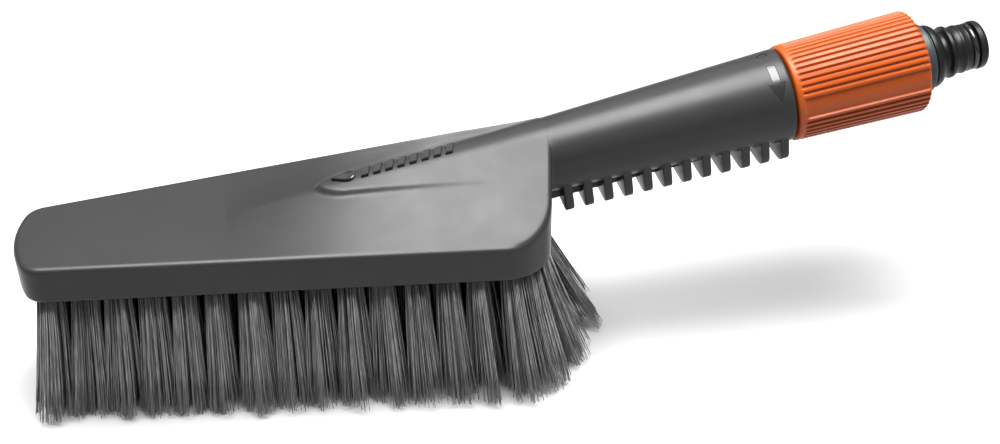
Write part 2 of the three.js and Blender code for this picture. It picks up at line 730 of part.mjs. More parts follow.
const handle = new THREE.Group();
handle.position.z = HANDLE_LIFT;
handle.rotation.y = -deg(HANDLE_PITCH);
handle.add(valveBody());
HANDLE_SEALS.forEach((station, i) =>
  handle.add(part(`handle_seal_${i + 1}`, ringIn(station, VALVE_RADIUS), BLACK_RUBBER)));
handle.add(seatDisc());
handle.add(retainingRing());
handle.add(hoseNipple());
handle.add(part('nipple_seat_seal', ringIn(NIPPLE_SEAL, BORE_RADIUS - GAP), BLACK_RUBBER));
const tipRingStation = (TIP_GROOVE.start + TIP_GROOVE.end) / 2;
const tipRing = oRing(tipRingStation, TIP_RING.radius, TIP_RING.wire);
handle.add(part('nipple_o_ring', tipRing, BLACK_RUBBER));
handle.add(regulatorKnob());
handle.add(valveRotor());
ROTOR_SEALS.forEach((station, i) =>
  handle.add(part(`rotor_seal_${i + 1}`, ringIn(station, BORE_RADIUS - GAP), BLACK_RUBBER)));
handle.add(drivePin(1, 0));
handle.add(drivePin(2, 180));

const brush = new THREE.Group();
brush.add(head, handle);
const bounds = new THREE.Box3().setFromObject(brush, true);
brush.position.set(-(bounds.min.x + bounds.max.x) / 2, 0, -FLOOR);

export default brush;
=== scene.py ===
# The looks of the wash brush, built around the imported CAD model.
# Shapes are worked out in millimetres in the head's frame (x = 0 at the rear wall, z = 0 on the
# rim of the top face) or along the handle's axis, and are turned into metres when a piece is made.
import json
import math

import bmesh
import bpy
import numpy as np
from mathutils import Euler, Matrix, Vector


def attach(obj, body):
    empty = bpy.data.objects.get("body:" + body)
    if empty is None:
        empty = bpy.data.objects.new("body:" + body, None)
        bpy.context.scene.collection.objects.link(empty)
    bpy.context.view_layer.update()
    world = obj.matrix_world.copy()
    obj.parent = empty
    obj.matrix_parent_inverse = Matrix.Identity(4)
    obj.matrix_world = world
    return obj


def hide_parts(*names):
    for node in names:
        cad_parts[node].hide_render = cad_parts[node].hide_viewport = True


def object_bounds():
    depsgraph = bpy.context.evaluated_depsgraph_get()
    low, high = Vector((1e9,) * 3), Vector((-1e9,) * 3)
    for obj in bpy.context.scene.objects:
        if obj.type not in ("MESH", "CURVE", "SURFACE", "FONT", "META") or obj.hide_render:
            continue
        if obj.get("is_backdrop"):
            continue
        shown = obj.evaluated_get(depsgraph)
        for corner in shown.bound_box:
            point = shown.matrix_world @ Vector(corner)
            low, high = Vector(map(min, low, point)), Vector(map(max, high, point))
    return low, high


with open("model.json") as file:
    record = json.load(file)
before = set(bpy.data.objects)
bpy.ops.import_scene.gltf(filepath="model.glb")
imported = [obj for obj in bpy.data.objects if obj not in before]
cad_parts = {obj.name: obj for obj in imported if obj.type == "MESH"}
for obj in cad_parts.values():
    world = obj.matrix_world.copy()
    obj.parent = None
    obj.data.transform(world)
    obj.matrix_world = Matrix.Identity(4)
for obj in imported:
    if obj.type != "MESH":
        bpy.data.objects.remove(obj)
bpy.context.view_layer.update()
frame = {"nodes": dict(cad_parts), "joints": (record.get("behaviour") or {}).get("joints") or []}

# ---------------------------------------------------------------- dimensions, as in the CAD
MM = 0.001
HEAD_LENGTH = 178.0
WALL_HEIGHT = 13.0
EDGE_RADIUS = 1.8
SKIRT_THICKNESS = 2.2
ROOF_THICKNESS = 2.5
PLATE_LEDGE = 2.8
RECESS_TOP = -8.0
CORNERS = [
    (1.6, 0.0, 60.0),
    (-7.5, 40.4, 17.0),
    (4 - HEAD_LENGTH, 18.3, 8.0),
    (-HEAD_LENGTH - 2.2, 0.0, 40.0),
    (4 - HEAD_LENGTH, -18.3, 8.0),
    (-7.5, -40.4, 17.0),
]
PITCH = math.radians(9.3)
HANDLE_LIFT = 9.5
TUBE_END = 84.6
TUBE_RADIUS_AT_HEAD = 12.7
TUBE_RADIUS_AT_END = 16.3
DUCT_RADIUS = 7.5
DUCT_START = -56.0
SOCKET_START = 56.0
SOCKET_RADIUS = 13.3
FIN_COUNT = 12
FIN_PITCH = 7.0
FIRST_FIN = 4.0
FIN_THICKNESS = 3.1
FIN_DEPTH = 20.6
KNOB_START = 85.2
KNOB_END = 132.5
KNOB_START_RADIUS = 16.9
KNOB_END_RADIUS = 18.0
RIB_PITCH = 7.5
RIB_HEIGHT = 0.8
PIN_STATION = 104.0
NECK_END = 137.5
BRISTLE_LENGTH = 47.0
ROW_COUNT = 6
TUFTS_PER_ROW = 16
FIRST_TUFT = 10.5 - HEAD_LENGTH
LAST_TUFT = -9.0

# A turned solid closes on a ring of this radius at its ends.
NEAR_AXIS = 0.01
# Cutting tools reach this far past the face they start from.
CUT_MARGIN = 1.0

# The joint sits on the handle's axis at the drive pins, which places both frames.
hinge = frame["joints"][0]
AXIS = Vector(hinge["axis"]).normalized()
HANDLE_ORIGIN = Vector(hinge["pos_m"]) - AXIS * PIN_STATION * MM
HEAD_ORIGIN = HANDLE_ORIGIN - Vector((0, 0, HANDLE_LIFT * MM))
HEAD_FRAME = Matrix.Translation(HEAD_ORIGIN) @ Matrix.Scale(MM, 4)
HANDLE_TILT = Matrix.Rotation(-PITCH, 4, "Y")
HANDLE_IN_HEAD = Matrix.Translation((0, 0, HANDLE_LIFT)) @ HANDLE_TILT
HANDLE_FRAME = HEAD_FRAME @ HANDLE_IN_HEAD


# ---------------------------------------------------------------- mesh helpers
def new_object(name, vertices, faces, matrix=Matrix.Identity(4)):
    mesh = bpy.data.meshes.new(name)
    mesh.from_pydata([tuple(v) for v in vertices], [], [tuple(f) for f in faces])
    mesh.transform(matrix)
    obj = bpy.data.objects.new(name, mesh)
    bpy.context.scene.collection.objects.link(obj)
    return obj


def loft_data(rings, closed_ends=True):
    """Vertices and faces of a skin through rings of equally many points."""
    rings = [np.asarray(r, float) for r in rings]
    count = len(rings[0])
    vertices = np.concatenate(rings)
    faces = []
    for j in range(len(rings) - 1):
        for i in range(count):
            here = j * count + i
            after = j * count + (i + 1) % count
            faces.append((here, after, after + count, here + count))
    if closed_ends:
        hubs = [rings[0].mean(0), rings[-1].mean(0)]
        vertices = np.concatenate([vertices, hubs])
        first_hub = len(rings) * count
        last = (len(rings) - 1) * count
        for i in range(count):
            after = (i + 1) % count
            faces.append((first_hub, after, i))
            faces.append((first_hub + 1, last + i, last + after))
    return vertices, faces


def joined(parts):
    """One set of vertices and faces from several."""
    vertices, faces, offset = [], [], 0
    for part_vertices, part_faces in parts:
        vertices.append(part_vertices)
        faces += [tuple(i + offset for i in f) for f in part_faces]
        offset += len(part_vertices)
    return np.concatenate(vertices), faces


def lathe_rings(profile, segments):
    """Rings about the x axis from a list of (x, radius)."""
    angle = np.linspace(0, 2 * math.pi, segments, endpoint=False)
    return [
        np.stack([np.full(segments, x), radius * np.cos(angle), radius * np.sin(angle)], 1)
        for x, radius in profile
    ]


def lathe(name, profile, segments, matrix):
    """A turned tube whose profile closes on itself."""
    rings = lathe_rings([*profile, profile[0]], segments)
    vertices, faces = loft_data(rings, closed_ends=False)
    obj = new_object(name, vertices, faces, matrix)
    tidy_mesh(obj)
    return obj


def prism(outline, start, end):
    """A shape given in the y-z plane, extruded along x."""
    rings = [[(x, y, z) for y, z in outline] for x in (start, end)]
    return loft_data(rings)


def tidy_mesh(obj, merge=1e-7):
    """Merges doubled corners and turns every face outwards."""
    bm = bmesh.new()
    bm.from_mesh(obj.data)
    bmesh.ops.remove_doubles(bm, verts=bm.verts, dist=merge)
    bmesh.ops.dissolve_degenerate(bm, edges=bm.edges, dist=merge)
    bmesh.ops.recalc_face_normals(bm, faces=bm.faces)
    bm.to_mesh(obj.data)
    bm.free()


def shade(obj, sharp_angle=35.0):
    """Smooth shading that keeps real corners crisp."""
    bm = bmesh.new()
    bm.from_mesh(obj.data)
    limit = math.radians(sharp_angle)
    for face in bm.faces:
        face.smooth = True
    for edge in bm.edges:
        edge.smooth = edge.is_boundary or edge.calc_face_angle(0.0) < limit
    bm.to_mesh(obj.data)
    bm.free()


def apply_modifiers(obj):
    graph = bpy.context.evaluated_depsgraph_get()
    graph.update()
    made = bpy.data.meshes.new_from_object(obj.evaluated_get(graph))
    obj.modifiers.clear()
    obj.data = made


def cut_away(obj, tools):
    """Cuts the tool solids from obj, and removes them."""
    for tool in tools:
        tidy_mesh(tool, 1e-5)
        modifier = obj.modifiers.new("cut", "BOOLEAN")
        modifier.operation = "DIFFERENCE"
        modifier.solver = "EXACT"
        modifier.object = tool
        apply_modifiers(obj)
        bpy.data.objects.remove(tool)


def put(obj, material, body, slot, *replaced):
    """Gives a finished piece its material and body, and hides the CAD nodes it stands for. The slot
    is not used.
    """
    obj.data.materials.clear()
    obj.data.materials.append(material)
    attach(obj, body)
    if replaced:
        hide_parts(*replaced)
    return obj


# ---------------------------------------------------------------- materials
class Nodes:
    """A short way to build a node tree."""

    def __init__(self, name):
        self.material = bpy.data.materials.new(name)
        self.material.use_nodes = True
        self.tree = self.material.node_tree
        self.shader = self.tree.nodes["Principled BSDF"]
        coords = self.add("ShaderNodeTexCoord")
        self.position = coords.outputs["Object"]

    def add(self, kind, **settings):
        node = self.tree.nodes.new(kind)
        for key, value in settings.items():
            setattr(node, key, value)
        return node

    def link(self, output, socket):
        self.tree.links.new(output, socket)

    def scaled(self, factors):
        mapping = self.add("ShaderNodeMapping")
        mapping.inputs["Scale"].default_value = factors
        self.link(self.position, mapping.inputs["Vector"])
        return mapping.outputs["Vector"]

    def noise(self, scale, detail=3.0, roughness=0.55, vector=None):
        node = self.add("ShaderNodeTexNoise")
        node.inputs["Scale"].default_value = scale
        node.inputs["Detail"].default_value = detail
        node.inputs["Roughness"].default_value = roughness
        self.link(vector or self.position, node.inputs["Vector"])
        return node.outputs["Fac"]

    def spread(self, value, low, high, start=0.3, end=0.7):
        node = self.add("ShaderNodeMapRange")
        node.inputs["From Min"].default_value = start
        node.inputs["From Max"].default_value = end
        node.inputs["To Min"].default_value = low
        node.inputs["To Max"].default_value = high
        self.link(value, node.inputs["Value"])
        return node.outputs["Result"]

    def mix(self, factor, first, second):
        """A colour mix. Its inputs 0, 6 and 7 are the factor and the two colours."""
        node = self.add("ShaderNodeMix", data_type="RGBA")
        self.link(factor, node.inputs[0])
        for socket, value in ((node.inputs[6], first), (node.inputs[7], second)):
            if isinstance(value, tuple):
                socket.default_value = (*value, 1.0)
            else:
                self.link(value, socket)
        return node.outputs[2]

    def bump(self, height, strength, distance):
        node = self.add("ShaderNodeBump")
        node.inputs["Strength"].default_value = strength
        node.inputs["Distance"].default_value = distance
        self.link(height, node.inputs["Height"])
        self.link(node.outputs["Normal"], self.shader.inputs["Normal"])

    def edges(self, start=0.52, end=0.6):
        """1 on outer edges and corners, where a moulding is rubbed bright."""
        geometry = self.add("ShaderNodeNewGeometry")
        return self.spread(geometry.outputs["Pointiness"], 0.0, 1.0, start, end)


def shade_of(color, factor):
    return tuple(c * factor for c in color)


def moulded(name, color, roughness, grain=2600.0, grain_depth=0.00002, specular=0.5,
            variation=0.08, wear=1.25):
    """Moulded plastic: a fine spark-eroded grain, slow tone and gloss changes, rubbed edges."""
    nodes = Nodes(name)
    tone = nodes.mix(
        nodes.spread(nodes.noise(28.0, 4.0), 0.0, 1.0),
        shade_of(color, 1 - variation),
        shade_of(color, 1 + variation),
    )
    speckled = nodes.mix(nodes.spread(nodes.noise(grain, 2.0), 0.0, 0.35), tone,
                         shade_of(color, 1 - 2 * variation))
    rubbed = nodes.mix(nodes.edges(), speckled, shade_of(color, wear))
    nodes.link(rubbed, nodes.shader.inputs["Base Color"])
    gloss = nodes.spread(nodes.noise(60.0, 5.0), roughness - 0.05, roughness + 0.05)
    nodes.link(gloss, nodes.shader.inputs["Roughness"])
    nodes.shader.inputs["Specular IOR Level"].default_value = specular
    nodes.bump(nodes.noise(grain, 3.0), 0.35, grain_depth)
    return nodes.material


def filaments(name, color):
    """Extruded nylon filaments: each strand has its own tone, with streaks along it."""
    nodes = Nodes(name)
    strand = nodes.noise(1.0, 1.0, 0.5, nodes.scaled((900.0, 900.0, 9.0)))
    streak = nodes.noise(1.0, 2.0, 0.5, nodes.scaled((3200.0, 3200.0, 60.0)))
    tone = nodes.mix(nodes.spread(strand, 0.0, 1.0, 0.3, 0.7), shade_of(color, 0.45),
                     shade_of(color, 1.5))
    streaked = nodes.mix(nodes.spread(streak, 0.0, 0.3), tone, shade_of(color, 1.7))
    nodes.link(streaked, nodes.shader.inputs["Base Color"])
    nodes.link(nodes.spread(strand, 0.36, 0.55), nodes.shader.inputs["Roughness"])
    nodes.shader.inputs["Specular IOR Level"].default_value = 0.5
    nodes.bump(streak, 0.2, 0.00002)
    return nodes.material


def rubber(name):
    """Greased rubber: nearly black and glossy, with faint smears."""
    nodes = Nodes(name)
    smear = nodes.noise(240.0, 4.0)
    tone = nodes.mix(nodes.spread(smear, 0.0, 1.0), (0.006, 0.006, 0.006), (0.014, 0.014, 0.014))
    nodes.link(tone, nodes.shader.inputs["Base Color"])
    nodes.link(nodes.spread(smear, 0.12, 0.26), nodes.shader.inputs["Roughness"])
    nodes.bump(nodes.noise(1500.0), 0.1, 0.00001)
    return nodes.material


def ground_steel(name):
    """Ground steel pins, with fine marks round them."""
    nodes = Nodes(name)
    marks = nodes.noise(1.0, 3.0, 0.6, nodes.scaled((4000.0, 400.0, 400.0)))
    tone = nodes.mix(nodes.spread(marks, 0.0, 1.0), (0.46, 0.46, 0.45), (0.66, 0.66, 0.65))
    nodes.link(tone, nodes.shader.inputs["Base Color"])
    nodes.link(nodes.spread(marks, 0.2, 0.38), nodes.shader.inputs["Roughness"])
    nodes.shader.inputs["Metallic"].default_value = 1.0
    nodes.bump(marks, 0.15, 0.00001)
    return nodes.material


BODY = moulded("body_grey", (0.018, 0.0182, 0.0185), 0.37, specular=0.21, wear=1.35)
MARK = moulded("mark_grey", (0.01, 0.01, 0.0105), 0.22, grain_depth=0.000005, specular=0.4)
KNOB = moulded("knob_orange", (0.27, 0.043, 0.0014), 0.38, specular=0.28, variation=0.05, wear=1.12)
NIPPLE = moulded("nipple_black", (0.006, 0.006, 0.006), 0.36, grain=3200.0,
                 grain_depth=0.00001, specular=0.18, wear=1.6)
VALVE = moulded("valve_grey", (0.022, 0.029, 0.032), 0.42, specular=0.25)
DISC = moulded("disc_white", (0.62, 0.62, 0.59), 0.36, variation=0.03, wear=1.05)
BRISTLE = filaments("bristle_grey", (0.15, 0.15, 0.152))
SEAL = rubber("seal_black")
STEEL = ground_steel("pin_steel")


# ---------------------------------------------------------------- head: outline and top face
def head_outline(inset, spacing=1.0):
    """The rounded trapezoid seen from above as an array of points about a spacing apart."""
    corners = [np.array(c[:2]) for c in CORNERS]
    radii = [c[2] for c in CORNERS]
    count = len(corners)
    points = []
    for i, corner in enumerate(corners):
        before = corner - corners[i - 1]
        before = before / np.linalg.norm(before)
        after = corners[(i + 1) % count] - corner
        after = after / np.linalg.norm(after)
        inward_before = np.array([-before[1], before[0]])
        inward_after = np.array([-after[1], after[0]])
        bisector = (inward_before + inward_after) / (1 + inward_before @ inward_after)
        centre = corner + bisector * radii[i]
        start = math.atan2(-inward_before[1], -inward_before[0])
        turn = math.atan2(before[0] * after[1] - before[1] * after[0], before @ after)
        steps = max(4, round(radii[i] * turn / spacing))
        for k in range(steps + 1):
            angle = start + turn * k / steps
            reach = np.array([math.cos(angle), math.sin(angle)])
            points.append(centre + (radii[i] - inset) * reach)
    filled = []
    for i, point in enumerate(points):
        after = points[(i + 1) % len(points)]
        full = head_side_steps(i, points, spacing)
        filled += [point + (after - point) * k / full for k in range(full)]
    return np.array(filled)


# Filled by the first outline asked for at each spacing, and read by all later ones.
_side_steps = {}


def head_side_steps(i, points, spacing):
    """Steps on one straight stretch, the same for every inset, so that rings match."""
    key = (i, spacing)
    if key not in _side_steps:
        length = np.linalg.norm(points[(i + 1) % len(points)] - points[i])
        _side_steps[key] = max(1, round(length / spacing))
    return _side_steps[key]


def tube_radius(x):
    return TUBE_RADIUS_AT_HEAD + (TUBE_RADIUS_AT_END - TUBE_RADIUS_AT_HEAD) * x / TUBE_END


def smooth_step(t):
    t = np.clip(t, 0, 1)
    return t * t * (3 - 2 * t)


SIDE_TAPER = (CORNERS[1][1] - CORNERS[2][1]) / (CORNERS[1][0] - CORNERS[2][0])
SLOPE_INSET = 1.5
SPINE_COVER = 0.35


def half_width(x):
    return CORNERS[1][1] + SIDE_TAPER * (x - CORNERS[1][0])


def slope_height(x, y):
    """The top face: straight from each side up to the handle's tube, like a sheet over it."""
    radius = tube_radius(x) / math.cos(PITCH) + SPINE_COVER
    axis = HANDLE_LIFT + x * math.tan(PITCH)
    foot = half_width(x) - SLOPE_INSET
    slope = np.arctan2(axis, foot) + np.arcsin(radius / np.hypot(axis, foot))
    side = np.abs(y)
    over_tube = axis + np.sqrt(np.clip(radius * radius - side * side, 0, None))
    height = np.where(side < radius * np.sin(slope), over_tube, (foot - side) * np.tan(slope))
    return np.where(axis + radius > 0, np.maximum(height, 0), 0.0)


# A flat wedge lies on the ridge. It widens towards the handle and runs out into it.
PAD = {"tip": -79.0, "round": 9.0, "half": 5.4, "end": -19.0, "spread": 12.0, "lift": 1.4,
       "bevel": 1.8}


def top_height(x, y):
    base = slope_height(x, y)
    along = np.clip((x - PAD["tip"]) / (PAD["end"] - PAD["tip"]), 0, 1)
    into_tip = np.clip((PAD["tip"] + PAD["round"] - x) / PAD["round"], 0, 1)
    half = (PAD["half"] + PAD["spread"] * along) * np.sqrt(1 - into_tip**2)
    inside = smooth_step((half - np.abs(y)) / PAD["bevel"]) * (x > PAD["tip"])
    return base + PAD["lift"] * (1 - along) * inside


def ring_of(points, z):
    return np.column_stack([points, np.broadcast_to(z, len(points))])


TOP_RINGS = 44
EDGE_STEPS = 8
# The foot of the wall is drawn in a little, over this height.
FOOT_INSET = 0.3
FOOT_HEIGHT = 0.5
SPINE_FRONT = 25 - HEAD_LENGTH
SPINE_REAR = -20.0


def head_rings():
    """Rings from the middle of the underside, up the wall and in to the ridge line."""
    foot = head_outline(FOOT_INSET)
    wall = head_outline(0.0)
    rim = head_outline(EDGE_RADIUS)
    middle = np.column_stack([np.clip(rim[:, 0], SPINE_FRONT, SPINE_REAR), np.zeros(len(rim))])
    rings = [ring_of(middle, -WALL_HEIGHT), ring_of(foot, -WALL_HEIGHT)]
    rings.append(ring_of(wall, FOOT_HEIGHT - WALL_HEIGHT))
    for k in range(EDGE_STEPS + 1):
        angle = math.pi / 2 * k / EDGE_STEPS
        points = head_outline(EDGE_RADIUS * (1 - math.cos(angle)))
        drop = EDGE_RADIUS * (1 - math.sin(angle))
        rings.append(ring_of(points, slope_height(points[:, 0], points[:, 1]) - drop))
    for k in range(1, TOP_RINGS + 1):
        points = rim + (middle - rim) * k / TOP_RINGS
        rings.append(ring_of(points, top_height(points[:, 0], points[:, 1])))
    return rings


# ---------------------------------------------------------------- brush shell
def in_handle(data):
    """Moves vertices from the handle's frame to the head's."""
    vertices, faces = data
    turn = np.array(HANDLE_IN_HEAD)
    return vertices @ turn[:3, :3].T + turn[:3, 3], faces


FIN = {"root": -5.0, "share": 0.8, "taper": 0.8, "round": 5.5}


def fin_outline(station):
    """A fin seen along the tube: nearly straight sides and a rounded toe."""
    half = FIN["share"] * tube_radius(station)
    side = half - FIN["taper"]
    start = np.array([side - FIN["round"], -FIN_DEPTH])
    corner = np.array([side, -FIN_DEPTH])
    end = np.array([side, FIN["round"] - FIN_DEPTH])
    right = []
    for t in np.linspace(0, 1, 9):
        right.append(tuple((1 - t) ** 2 * start + 2 * t * (1 - t) * corner + t * t * end))
    right.append((half, FIN["root"]))
    left = [(-y, z) for y, z in reversed(right)]
    return left + right


TUBE_START = -8.0
TUBE_STATIONS = 60
TUBE_SEGMENTS = 128
END_CHAMFER_LENGTH = 0.5
END_CHAMFER_DEPTH = 0.4
WEB = {"start": -6.0, "half": 2.4, "top": -9.0, "bottom": -17.4}


def handle_solids():
    """The tube and the web under it, as overlapping closed skins."""
    stations = np.linspace(TUBE_START, TUBE_END - END_CHAMFER_LENGTH, TUBE_STATIONS)
    profile = [
        (TUBE_START, NEAR_AXIS),
        *[(x, tube_radius(x)) for x in stations],
        (TUBE_END, tube_radius(TUBE_END) - END_CHAMFER_DEPTH),
        (TUBE_END, NEAR_AXIS),
    ]
    parts = [loft_data(lathe_rings(profile, TUBE_SEGMENTS))]
    last = FIRST_FIN + (FIN_COUNT - 1) * FIN_PITCH
    web = [(-WEB["half"], WEB["top"]), (-WEB["half"], WEB["bottom"]),
           (WEB["half"], WEB["bottom"]), (WEB["half"], WEB["top"])]
    parts.append(prism(web, WEB["start"], last))
    return [in_handle(p) for p in parts]


FIN_EDGE_ROUND = 0.4
FIN_EDGE_ANGLE = 40.0


def add_grip_fins(shell):
    """Joins the grip fins to the tube, each with a small round on its edges."""
    prisms = []
    for i in range(FIN_COUNT):
        middle = FIRST_FIN + i * FIN_PITCH
        near, far = middle - FIN_THICKNESS / 2, middle + FIN_THICKNESS / 2
        prisms.append(in_handle(prism(fin_outline(middle), near, far)))
    fins = new_object("fins", *joined(prisms))
    tidy_mesh(fins, 1e-4)
    bevel = fins.modifiers.new("rounded", "BEVEL")
    bevel.width = FIN_EDGE_ROUND
    bevel.segments = 2
    bevel.angle_limit = math.radians(FIN_EDGE_ANGLE)
    apply_modifiers(fins)
    modifier = shell.modifiers.new("fins", "BOOLEAN")
    modifier.operation = "UNION"
    modifier.solver = "EXACT"
    modifier.object = fins
    apply_modifiers(shell)
    bpy.data.objects.remove(fins)


ARROW = {"station": 79.7, "tail": 73.0, "neck": 48.0, "tip": 25.0, "shaft": 1.5, "head": 3.1}
SHAFT_STEPS = 12
POINT_STEPS = 14
ARROW_TIP_HALF = 0.15
LEAST_POINT_HALF = 0.08
OFF_RING = {"station": 79.0, "angle": 96.0, "outer": 1.9, "inner": 1.1, "steps": 40}
ENGRAVING = 0.45
# The bottom and top of a cut, and of the inlay in it, as heights over the tube's surface.
CUT_LEVELS = (-ENGRAVING, 1.0)
INLAY_LEVELS = (-ENGRAVING - 0.15, -0.08)


def band_round_tube(angles, half_widths, station, levels):
    """A curved bar that runs round the tube's surface. Angles run from -Y towards +Z, in degrees."""
    low, high = levels
    rings = []
    for angle, half in zip(angles, half_widths):
        turn = math.radians(angle)
        up = np.array([0, -math.cos(turn), math.sin(turn)])
        radius = tube_radius(station)
        corners = [(-half, radius + low), (half, radius + low),
                   (half, radius + high), (-half, radius + high)]
        rings.append([up * reach + np.array([station + x, 0, 0]) for x, reach in corners])
    return loft_data(rings)


def arrow(levels, margin=0.0):
    """The turn arrow: an even shaft, and a point that narrows to the tip."""
    shaft = np.linspace(ARROW["tail"] - margin, ARROW["neck"] - 1, SHAFT_STEPS)
    point = np.linspace(ARROW["neck"] - margin, ARROW["tip"] + 2 * margin, POINT_STEPS)
    shaft_half = np.full(SHAFT_STEPS, ARROW["shaft"] - margin)
    point_half = np.linspace(ARROW["head"], ARROW_TIP_HALF, POINT_STEPS) - margin / 2
    point_half = np.maximum(point_half, LEAST_POINT_HALF)
    return [
        band_round_tube(shaft, shaft_half, ARROW["station"], levels),
        band_round_tube(point, point_half, ARROW["station"], levels),
    ]


def off_mark(levels, margin=0.0):
    """The ring at the arrow's start that marks the closed position."""
    outer = OFF_RING["outer"] - margin
    inner = OFF_RING["inner"] + margin
    centre = math.radians(OFF_RING["angle"])
    radius = tube_radius(OFF_RING["station"])
    low, high = levels
    rings = []
    for k in range(OFF_RING["steps"]):
        turn = 2 * math.pi * k / OFF_RING["steps"]
        ring = []
        for reach, level in ((inner, low), (outer, low), (outer, high), (inner, high)):
            along = OFF_RING["station"] + reach * math.cos(turn)
            around = centre + reach * math.sin(turn) / radius
            up = np.array([0, -math.cos(around), math.sin(around)])
            ring.append(up * (radius + level) + np.array([along, 0, 0]))
        rings.append(ring)
    return loft_data([*rings, rings[0]], closed_ends=False)


VOXEL_SIZE = 0.5
SMOOTH_FACTOR = 0.5
SMOOTH_STEPS = 4
BORE_SEGMENTS = 96


def brush_shell():
    """The head, handle and fins in one skin, with the chamber, bore and marks cut out of it."""
    solids = [loft_data(head_rings(), closed_ends=False), *handle_solids()]
    shell = new_object("brush_shell", *joined(solids))
    remesh = shell.modifiers.new("one_skin", "REMESH")
    remesh.mode = "VOXEL"
    remesh.voxel_size = VOXEL_SIZE
    smooth = shell.modifiers.new("soften", "SMOOTH")
    smooth.factor = SMOOTH_FACTOR
    smooth.iterations = SMOOTH_STEPS
    apply_modifiers(shell)
    add_grip_fins(shell)
    chamber_inset = SKIRT_THICKNESS + PLATE_LEDGE
    hollow = loft_data([
        ring_of(head_outline(SKIRT_THICKNESS), -WALL_HEIGHT - CUT_MARGIN),
        ring_of(head_outline(SKIRT_THICKNESS), RECESS_TOP),
        ring_of(head_outline(chamber_inset), RECESS_TOP),
        ring_of(head_outline(chamber_inset), -ROOF_THICKNESS),
    ])
    bore = loft_data(lathe_rings([
        (DUCT_START, NEAR_AXIS), (DUCT_START, DUCT_RADIUS), (SOCKET_START, DUCT_RADIUS),
        (SOCKET_START, SOCKET_RADIUS), (TUBE_END + CUT_MARGIN, SOCKET_RADIUS),
        (TUBE_END + CUT_MARGIN, NEAR_AXIS),
    ], BORE_SEGMENTS))
    tools = [hollow, in_handle(bore)]
    tools += [in_handle(c) for c in (*arrow(CUT_LEVELS), off_mark(CUT_LEVELS))]
    cut_away(shell, [new_object("tool", *data) for data in tools])
    shell.data.transform(HEAD_FRAME)
    shade(shell, 32.0)
    return shell


def turn_marks():
    """Glossy inlays that fill the engraved arrow and ring to just under the surface."""
    parts = [*arrow(INLAY_LEVELS, 0.12), off_mark(INLAY_LEVELS, 0.05)]
    obj = new_object("turn_marks", *joined(parts), HANDLE_FRAME)
    tidy_mesh(obj)
    shade(obj, 30.0)
    return obj


put(brush_shell(), BODY, "brush", "body_plastic", "brush_body")
put(turn_marks(), MARK, "brush", None)


# ---------------------------------------------------------------- emblem on the pad
DROP = {"x": -69.8, "half_length": 4.0, "half_width": 3.6, "point": 1.5, "steps": 48}
BARS = {"count": 8, "start": -64.0, "pitch": 4.1, "low": -2.5, "high": 2.3}
BAR_LOW_EDGE = (0.0, 2.4)
BAR_HIGH_EDGE = (1.2, 3.6)
EMBLEM_LIFT = 1.0
EMBLEM_SINK = 0.6
EMBLEM_CHAMFER = 0.2
EMBLEM_TOP_SCALE = 0.9


def drop_outline():
    points = []
    for k in range(DROP["steps"]):
        t = 2 * math.pi * k / DROP["steps"]
        width = DROP["half_width"] * math.sin(t) * math.sin(t / 2) ** DROP["point"]
        points.append((DROP["x"] - DROP["half_length"] * math.cos(t), width))
    return points


def bar_outline(k):
    x = BARS["start"] + BARS["pitch"] * k
    low_start, low_end = BAR_LOW_EDGE
    high_start, high_end = BAR_HIGH_EDGE
    return [(x + low_start, BARS["low"]), (x + low_end, BARS["low"]),
            (x + high_end, BARS["high"]), (x + high_start, BARS["high"])]


def emblem():
    """A plain water drop and a row of slanted bars, raised a little from the pad."""
    shapes = [drop_outline(), *[bar_outline(k) for k in range(BARS["count"])]]
    levels = (
        (1.0, -EMBLEM_SINK),
        (1.0, EMBLEM_LIFT - EMBLEM_CHAMFER),
        (EMBLEM_TOP_SCALE, EMBLEM_LIFT),
    )
    parts = []
    for shape in shapes:
        points = np.array(shape)
        centre = points.mean(0)
        rings = []
        for scale, rise in levels:
            ring = centre + (points - centre) * scale
            rings.append(ring_of(ring, top_height(ring[:, 0], ring[:, 1]) + rise))
        parts.append(loft_data(rings))
    obj = new_object("emblem", *joined(parts), HEAD_FRAME)
    tidy_mesh(obj)
    shade(obj, 30.0)
    return obj


put(emblem(), MARK, "brush", None)


# ---------------------------------------------------------------- bristles
FILAMENTS_PER_TUFT = 120
CLUMPS_PER_TUFT = 18
STRAND_RADIUS = 0.24
ROOT_SPREAD = np.array([4.0, 2.8])
TIP_SPREAD_X = 6.6
REAR_FLARE = 7.0
MIDDLE_FLARE = 17.0
FRONT_FLARE = 6.0
SIDE_FLARE = 6.0
PLATE_MARGIN = 5.4
# The last tuft of each outer row follows the rounded corner of the head.
CORNER_PULL = 5.2


def side_of(row):
    return 2 * row / (ROW_COUNT - 1) - 1


def row_y(row, x):
    return side_of(row) * (half_width(x) - PLATE_MARGIN)


def tuft_root(row, column):
    x = FIRST_TUFT + (LAST_TUFT - FIRST_TUFT) * column / (TUFTS_PER_ROW - 1)
    root = np.array([x, row_y(row, x)])
    if column == TUFTS_PER_ROW - 1 and row in (0, ROW_COUNT - 1):
        root -= CORNER_PULL * np.array([1, side_of(row)])
    return root


def tuft_tip(row, column):
    along = column / (TUFTS_PER_ROW - 1)
    rear = REAR_FLARE + MIDDLE_FLARE * (1 - abs(side_of(row)))
    lean = rear * along**5 - FRONT_FLARE * (1 - along) ** 3
    return tuft_root(row, column) + np.array([lean, side_of(row) * SIDE_FLARE])


def in_disc(random, count):
    radius = np.sqrt(random.uniform(0, 1, count))
    angle = random.uniform(0, 2 * math.pi, count)
    return np.column_stack([radius * np.cos(angle), radius * np.sin(angle)])


